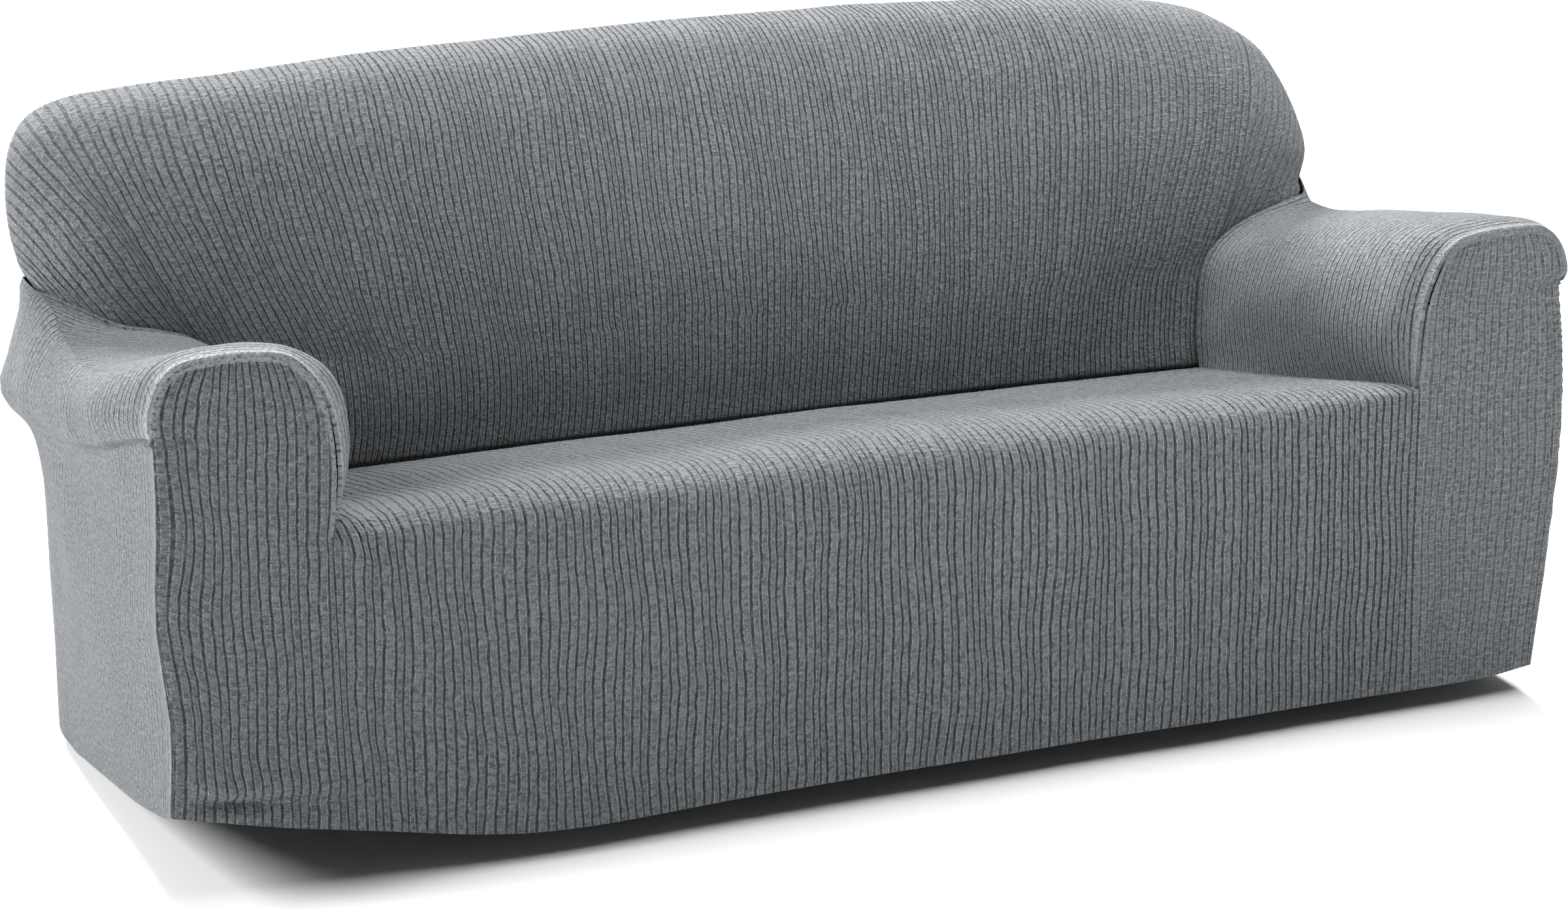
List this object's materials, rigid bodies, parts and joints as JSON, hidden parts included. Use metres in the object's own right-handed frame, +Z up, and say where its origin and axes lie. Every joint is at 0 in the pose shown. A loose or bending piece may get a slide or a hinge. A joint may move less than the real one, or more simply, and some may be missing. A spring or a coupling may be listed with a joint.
{
  "type": "sofa slipcover",
  "caption": "Fitted stretch slipcover of ribbed cloth for a sofa with rolled arms, following its seat, arms and high back, open below.",
  "frame": {"origin": "middle of the cover's footprint, level with the lowest point of its hem", "axes": "+X along the seat, to the right as seen from in front; -Y towards the front of the seat; +Z up"},
  "size_m": [2.074, 0.8615, 0.9281],
  "materials": {
    "ribbed_cloth": "matt crinkled rib"
  },
  "bodies": {
    "root": {"front_and_seat": "ribbed_cloth", "arm_left": "ribbed_cloth", "arm_right": "ribbed_cloth", "inner_back": "ribbed_cloth", "outer_back": "ribbed_cloth"}
  },
  "joints": []
}
